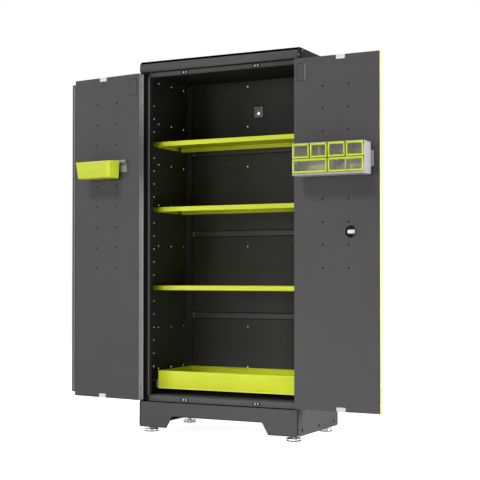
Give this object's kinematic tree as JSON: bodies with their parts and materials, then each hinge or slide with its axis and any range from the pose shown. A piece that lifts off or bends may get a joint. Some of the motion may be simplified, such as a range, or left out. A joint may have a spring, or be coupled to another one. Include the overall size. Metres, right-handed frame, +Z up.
{
  "type": "garage cabinet",
  "caption": "Tall two-door steel garage cabinet on levelling feet, with shelves, a roll-out tray, a lock with rods, a door bin and a drawer organizer.",
  "frame": {"origin": "on the floor, under the middle of the bounding box with the doors open as stored", "axes": "+Z up, +Y from the doors to the back, +X to the right of someone facing the doors"},
  "size_m": [1.6908, 0.6137, 1.829],
  "materials": {
    "charcoal_paint": "fine texture, satin",
    "lime_paint": "satin",
    "lime_plastic": "moulded",
    "grey_plastic": "moulded",
    "grey_bracket": "satin",
    "black_plastic": "moulded",
    "zinc": "zinc plated",
    "chrome": "bright plated"
  },
  "bodies": {
    "cabinet": {"left_side_panel": "charcoal_paint", "right_side_panel": "charcoal_paint", "front_posts": "charcoal_paint", "rear_posts": "charcoal_paint", "back_panel_bottom": "charcoal_paint", "back_panel_lower": "charcoal_paint", "back_panel_upper": "charcoal_paint", "back_panel_top": "charcoal_paint", "back_joint_strips": "charcoal_paint", "roof_panel": "charcoal_paint", "floor_panel": "charcoal_paint", "face_rails": "charcoal_paint", "top_cap": "charcoal_paint", "base_deck": "charcoal_paint", "base_front_apron": "charcoal_paint", "base_side_aprons": "charcoal_paint", "base_rear_apron": "charcoal_paint", "foot_rails": "zinc", "magnetic_catches": "zinc", "shelf_upper": "lime_paint", "shelf_middle": "lime_paint", "shelf_lower": "lime_paint", "shelf_clips": "zinc", "cable_port": "black_plastic", "panel_screws": "zinc", "pivot_bushes": "black_plastic", "slide_brackets": "charcoal_paint", "slide_outer_members": "zinc"},
    "tray": {"tray_pan": "lime_paint", "slide_inner_members": "zinc"},
    "tray_slides": {"slide_middle_members": "zinc"},
    "left_door": {"left_door_skin": "charcoal_paint", "left_door_liner": "charcoal_paint", "left_door_hinges": "charcoal_paint", "left_door_strikes": "zinc", "left_door_astragal": "charcoal_paint", "bin_bracket": "grey_bracket", "storage_bin": "lime_plastic"},
    "right_door": {"right_door_skin": "charcoal_paint", "right_door_liner": "charcoal_paint", "right_door_hinges": "charcoal_paint", "right_door_strikes": "zinc", "right_door_edge_pull": "lime_plastic", "lock_barrel": "chrome", "organizer_bracket": "grey_plastic", "organizer_housing": "grey_plastic"},
    "lock": {"lock_knob": "black_plastic"},
    "upper_rod": {"lock_rod_upper": "zinc"},
    "lower_rod": {"lock_rod_lower": "zinc"},
    "foot_front_left_body": {"foot_front_left": "chrome"},
    "foot_front_right_body": {"foot_front_right": "chrome"},
    "foot_rear_left_body": {"foot_rear_left": "chrome"},
    "foot_rear_right_body": {"foot_rear_right": "chrome"},
    "small_drawer_1_body": {"small_drawer_1": "lime_plastic"},
    "small_drawer_2_body": {"small_drawer_2": "lime_plastic"},
    "small_drawer_3_body": {"small_drawer_3": "lime_plastic"},
    "small_drawer_4_body": {"small_drawer_4": "lime_plastic"},
    "wide_drawer_1_body": {"wide_drawer_1": "lime_plastic"},
    "wide_drawer_2_body": {"wide_drawer_2": "lime_plastic"}
  },
  "joints": [
    {"name": "left_door_swing", "type": "hinge", "parent": "cabinet", "child": "left_door", "pos_m": [-0.4219, -0.1705, 0.9615], "axis": [0, 0, -1], "range_deg": [-187, 8]},
    {"name": "right_door_swing", "type": "hinge", "parent": "cabinet", "child": "right_door", "pos_m": [0.4219, -0.1705, 0.9615], "axis": [0, 0, 1], "range_deg": [-179, 16]},
    {"name": "tray_pull", "type": "slide", "parent": "cabinet", "child": "tray", "axis": [0, -1, 0], "range_m": [0, 0.3]},
    {"name": "tray_slide_run", "type": "slide", "parent": "cabinet", "child": "tray_slides", "axis": [0, -1, 0], "range_m": [0, 0.15]},
    {"name": "lock_turn", "type": "hinge", "parent": "right_door", "child": "lock", "pos_m": [0.69722, -0.17741, 0.965], "axis": [0.0175, 0.9998, 0], "range_deg": [0, 90]},
    {"name": "upper_rod_shoot", "type": "slide", "parent": "right_door", "child": "upper_rod", "axis": [0, 0, 1], "range_m": [0, 0.01979]},
    {"name": "lower_rod_shoot", "type": "slide", "parent": "right_door", "child": "lower_rod", "axis": [0, 0, -1], "range_m": [0, 0.0199]},
    {"name": "small_drawer_1_pull", "type": "slide", "parent": "right_door", "child": "small_drawer_1_body", "axis": [-0.0175, -0.9998, 0], "range_m": [0, 0.07]},
    {"name": "small_drawer_2_pull", "type": "slide", "parent": "right_door", "child": "small_drawer_2_body", "axis": [-0.0175, -0.9998, 0], "range_m": [0, 0.07]},
    {"name": "small_drawer_3_pull", "type": "slide", "parent": "right_door", "child": "small_drawer_3_body", "axis": [-0.0175, -0.9998, 0], "range_m": [0, 0.07]},
    {"name": "small_drawer_4_pull", "type": "slide", "parent": "right_door", "child": "small_drawer_4_body", "axis": [-0.0175, -0.9998, 0], "range_m": [0, 0.07]},
    {"name": "wide_drawer_1_pull", "type": "slide", "parent": "right_door", "child": "wide_drawer_1_body", "axis": [-0.0175, -0.9998, 0], "range_m": [0, 0.07]},
    {"name": "wide_drawer_2_pull", "type": "slide", "parent": "right_door", "child": "wide_drawer_2_body", "axis": [-0.0175, -0.9998, 0], "range_m": [0, 0.07]},
    {"name": "foot_front_left_level", "type": "slide", "parent": "cabinet", "child": "foot_front_left_body", "axis": [0, 0, -1], "range_m": [-0.012, 0.015]},
    {"name": "foot_front_right_level", "type": "slide", "parent": "cabinet", "child": "foot_front_right_body", "axis": [0, 0, -1], "range_m": [-0.012, 0.015]},
    {"name": "foot_rear_left_level", "type": "slide", "parent": "cabinet", "child": "foot_rear_left_body", "axis": [0, 0, -1], "range_m": [-0.012, 0.015]},
    {"name": "foot_rear_right_level", "type": "slide", "parent": "cabinet", "child": "foot_rear_right_body", "axis": [0, 0, -1], "range_m": [-0.012, 0.015]}
  ],
  "couplings": [
    {"joint": "tray_slide_run", "follows": "tray_pull", "ratio": 0.5},
    {"joint": "lock_turn", "follows": "upper_rod_shoot", "rad_per_m": 79.365},
    {"joint": "lower_rod_shoot", "follows": "upper_rod_shoot", "ratio": 1}
  ]
}
